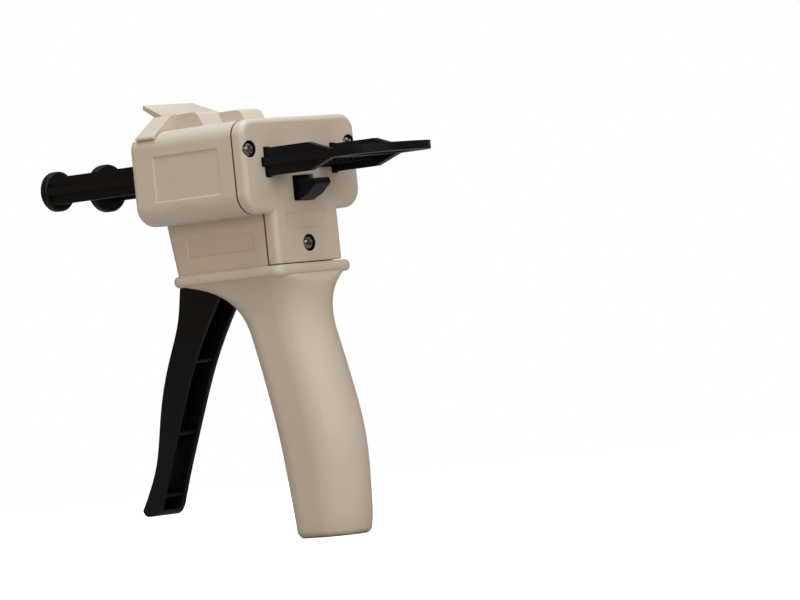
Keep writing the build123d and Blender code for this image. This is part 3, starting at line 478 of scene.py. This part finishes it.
def moulded(node, width, reshape=None, fine=False):
    """A copy of a CAD piece with its sharp edges rounded.

    Flat faces that the rounding tears are split into triangles in a second pass, and with
    fine all faces are split from the start.
    """
    torn = []
    while True:
        work = bmesh.new()
        work.from_mesh(nodes[node].data)
        bmesh.ops.remove_doubles(work, verts=work.verts, dist=WELD)
        bmesh.ops.dissolve_limit(work, angle_limit=FLAT_ANGLE, verts=work.verts, edges=work.edges)
        if reshape is not None:
            reshape(work)
        split = [face for face in work.faces if len(face.verts) > 3 and (fine or any(
            face.normal.dot(normal) > SAME_PLANE
            and abs(normal.dot(face.calc_center_median()) - far) < 2 * width
            for normal, far in torn))]
        bmesh.ops.triangulate(work, faces=split)
        round_edges(work, width)
        mesh = as_mesh(work, node + "_moulded")
        again = torn_planes(mesh)
        if torn or not again:
            break
        torn = again
    dress(mesh, node, node + "_moulded")


def on_leg(place, low):
    """Whether a point lies on the spring's front leg, further out than low."""
    along = (place - LEG_START).dot(LEG_WAY)
    beside = place - LEG_START - along * LEG_WAY
    beside.y = abs(place.y) - LEG_Y
    return along > low and beside.length < LEG_REACH


def spring_half(leg, name, body):
    """The spring cut across its front leg, with one side of the cut kept and closed."""
    work = bmesh.new()
    work.from_mesh(nodes["trigger_return_spring"].data)
    bmesh.ops.remove_doubles(work, verts=work.verts, dist=WELD)
    sides = {face for face in work.faces
             if any(on_leg(vert.co, 2 * LEG_CUT) for vert in face.verts)}
    crossed = [*(face for face in work.faces if face in sides),
               *(edge for edge in work.edges if any(face in sides for face in edge.link_faces)),
               *(vert for vert in work.verts if any(face in sides for face in vert.link_faces))]
    bmesh.ops.bisect_plane(work, geom=crossed, dist=ON_CUT,
                           plane_co=LEG_START + LEG_CUT * LEG_WAY, plane_no=LEG_WAY)
    gone = [face for face in work.faces
            if all(on_leg(vert.co, LEG_CUT - CUT_NEAR) for vert in face.verts) != leg]
    bmesh.ops.delete(work, geom=gone, context="FACES")
    bmesh.ops.edgeloop_fill(work, edges=[edge for edge in work.edges if edge.is_boundary])
    bmesh.ops.recalc_face_normals(work, faces=work.faces)
    mesh = as_mesh(work, name)
    for edge in mesh.edges:
        edge.use_edge_sharp = False
    dress(mesh, "trigger_return_spring", name, body)


def cross_depth(across, along):
    """How deep the pressed cross lies under the dome at one point of the head."""
    away = math.hypot(across, along)
    inside = max(min(CROSS_HALF - abs(across), CROSS_REACH - abs(along)),
                 min(CROSS_HALF - abs(along), CROSS_REACH - abs(across)))
    wall = min(max(inside / CROSS_WALL + 0.5, 0.0), 1.0)
    return wall * CROSS_DEEP * (1 - CROSS_TAPER * min(away / CROSS_REACH, 1.0) ** 2)


def screw(work, centre, turn):
    """One screw with its axis along X, its head towards the rear and its cross turned."""
    y, z = centre
    curve = (HEAD_R ** 2 + HEAD_CAP ** 2) / (2 * HEAD_CAP)
    profile = [(SHANK_END, SHANK_R), (HEAD_SEAT, SHANK_R), (HEAD_SEAT, HEAD_R - HEAD_EDGE),
               (HEAD_SEAT + HEAD_EDGE, HEAD_R), (HEAD_RIM - HEAD_EDGE, HEAD_R)]
    dome_start = len(profile)
    for step in range(HEAD_RINGS, 0, -1):
        radius = (HEAD_R - DOME_INSET) * step / HEAD_RINGS
        rise = math.sqrt(curve ** 2 - radius ** 2) - (curve - HEAD_CAP)
        profile.append((HEAD_RIM + rise, radius))
    tip = work.verts.new((TIP_END, y, z))
    rings = []
    for place, (x, radius) in enumerate(profile):
        ring = []
        for side in range(HEAD_SIDES):
            angle = math.tau * side / HEAD_SIDES
            dy, dz = radius * math.cos(angle), radius * math.sin(angle)
            sunk = cross_depth(dy * math.cos(turn) + dz * math.sin(turn),
                               dz * math.cos(turn) - dy * math.sin(turn))
            ring.append(work.verts.new((x - sunk if place >= dome_start else x, y + dy, z + dz)))
        rings.append(ring)
    peak = work.verts.new((HEAD_RIM + HEAD_CAP - CROSS_DEEP, y, z))
    for side in range(HEAD_SIDES):
        after = (side + 1) % HEAD_SIDES
        work.faces.new((tip, rings[0][after], rings[0][side]))
        for low, high in zip(rings, rings[1:]):
            work.faces.new((low[side], low[after], high[after], high[side]))
        work.faces.new((rings[-1][side], rings[-1][after], peak))


def cover_screws():
    """The three cover screws, domed and sunk into their recesses."""
    work = bmesh.new()
    for centre, turn in SCREWS:
        screw(work, centre, turn)
    bmesh.ops.recalc_face_normals(work, faces=work.faces)
    dress(as_mesh(work, "cover_screws_dressed"), "cover_screws", "cover_screws_dressed")


moulded("housing", 0.35 * MM)
moulded("rear_cover", 0.35 * MM, reshape=seam_groove)
moulded("cartridge_lock_lever", 0.5 * MM)
moulded("trigger", 0.4 * MM, reshape=round_toe)
moulded("plunger_racks", 0.2 * MM, fine=True)
moulded("release_lever", 0.3 * MM)
spring_half(False, "return_spring_coil", node_body["trigger_return_spring"])
spring_half(True, "return_spring_leg", node_body["trigger"])
cover_screws()
